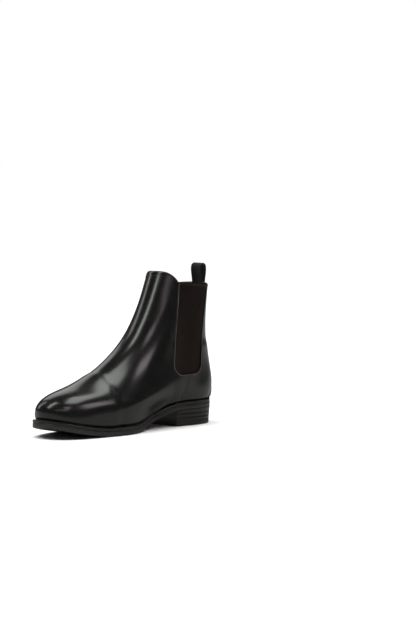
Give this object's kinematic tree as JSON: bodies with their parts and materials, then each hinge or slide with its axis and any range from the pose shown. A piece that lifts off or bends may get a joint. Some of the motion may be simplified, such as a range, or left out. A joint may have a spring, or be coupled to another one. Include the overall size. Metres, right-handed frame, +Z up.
{
  "type": "chelsea boot",
  "caption": "Right-foot chelsea boot: black leather upper, elastic side gores, webbing pull tab, welted leather sole and stacked heel with rubber tip.",
  "frame": {"origin": "on the ground, under the middle of the boot's box", "axes": "+Z up; toe towards -Y, heel towards +Y; the foot's inner (medial) side towards +X"},
  "size_m": [0.0982, 0.2914, 0.201],
  "materials": {
    "calf_leather": "polished black calf, soft reflections",
    "sole_leather": "black burnished sole leather, satin",
    "sole_edge": "black waxed edge, satin gloss",
    "heel_rubber": "matte dark grey rubber",
    "gore_elastic": "dark brown ribbed elastic",
    "tab_webbing": "black woven webbing",
    "lining_leather": "matte lining leather",
    "cork": "pressed cork",
    "insole_leather": "vegetable-tanned leather",
    "shank_steel": "spring steel",
    "nail_brass": "brass, filed flush",
    "stiffener_board": "impregnated fibre board"
  },
  "bodies": {
    "boot": {"outsole": "sole_leather", "top_lift": "sole_leather", "welt": "sole_edge", "heel_rand": "sole_edge", "heel_lift_1": "sole_edge", "heel_lift_2": "sole_edge", "heel_lift_3": "sole_edge", "insole": "insole_leather", "heel_pad": "lining_leather", "cork_filler": "cork", "shank": "shank_steel", "rubber_heel_tip": "heel_rubber", "vamp": "calf_leather", "quarter_medial": "calf_leather", "quarter_lateral": "calf_leather", "backstay": "calf_leather", "topline_binding_front": "calf_leather", "gore_medial": "gore_elastic", "gore_lateral": "gore_elastic", "vamp_lining": "lining_leather", "quarter_lining": "lining_leather", "toe_puff": "stiffener_board", "heel_counter": "stiffener_board", "heel_nail_01": "nail_brass", "heel_nail_02": "nail_brass", "heel_nail_03": "nail_brass", "heel_nail_04": "nail_brass", "heel_nail_05": "nail_brass", "heel_nail_06": "nail_brass", "heel_nail_07": "nail_brass", "heel_nail_08": "nail_brass", "heel_nail_09": "nail_brass", "heel_nail_10": "nail_brass", "heel_nail_11": "nail_brass", "heel_nail_12": "nail_brass", "heel_nail_13": "nail_brass", "heel_nail_14": "nail_brass", "heel_nail_15": "nail_brass"},
    "back_collar": {"topline_binding_back": "calf_leather"},
    "tab": {"pull_tab": "tab_webbing"}
  },
  "joints": [
    {"name": "shaft_opening", "type": "hinge", "parent": "boot", "child": "back_collar", "pos_m": [0, 0.0766, 0.07], "axis": [-1, 0, 0], "range_deg": [0, 8], "stiffness_Nm_per_rad": 6, "deforming": ["quarter_medial", "quarter_lateral", "backstay", "gore_medial", "gore_lateral", "quarter_lining"]},
    {"name": "tab_flop", "type": "hinge", "parent": "back_collar", "child": "tab", "pos_m": [0.0027, 0.1345, 0.179], "axis": [1, 0, 0], "range_deg": [-70, 40], "stiffness_Nm_per_rad": 0.03, "deforming": ["pull_tab"]}
  ]
}
